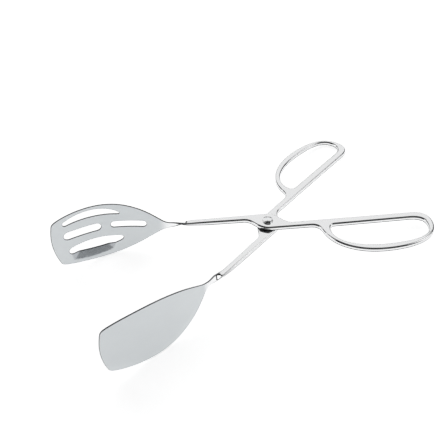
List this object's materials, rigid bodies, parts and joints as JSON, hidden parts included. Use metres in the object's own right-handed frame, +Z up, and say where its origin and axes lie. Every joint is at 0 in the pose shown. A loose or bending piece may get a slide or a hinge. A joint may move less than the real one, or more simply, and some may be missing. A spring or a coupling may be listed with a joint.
{
  "type": "serving tongs",
  "caption": "Open scissor-action serving tongs in stainless steel, with finger loops, a slotted draining blade and a plain blade that cross on a rivet.",
  "frame": {"origin": "on the table under the middle of the tongs as they lie open", "axes": "+X from the blades to the handles, +Z up"},
  "size_m": [0.2772, 0.154, 0.0558],
  "materials": {
    "stamped_steel": "polished handles, satin blades",
    "rivet_steel": "polished"
  },
  "bodies": {
    "plain_half": {"plain_tong_half": "stamped_steel", "pivot_rivet": "rivet_steel", "pivot_spacer": "rivet_steel", "rivet_washer": "rivet_steel"},
    "slotted_half": {"slotted_tong_half": "stamped_steel"}
  },
  "joints": [
    {"name": "pivot", "type": "hinge", "parent": "plain_half", "child": "slotted_half", "pos_m": [0.02214, 0, 0.01096], "axis": [0.0939, 0, 0.9956], "range_deg": [-20, 38]}
  ]
}
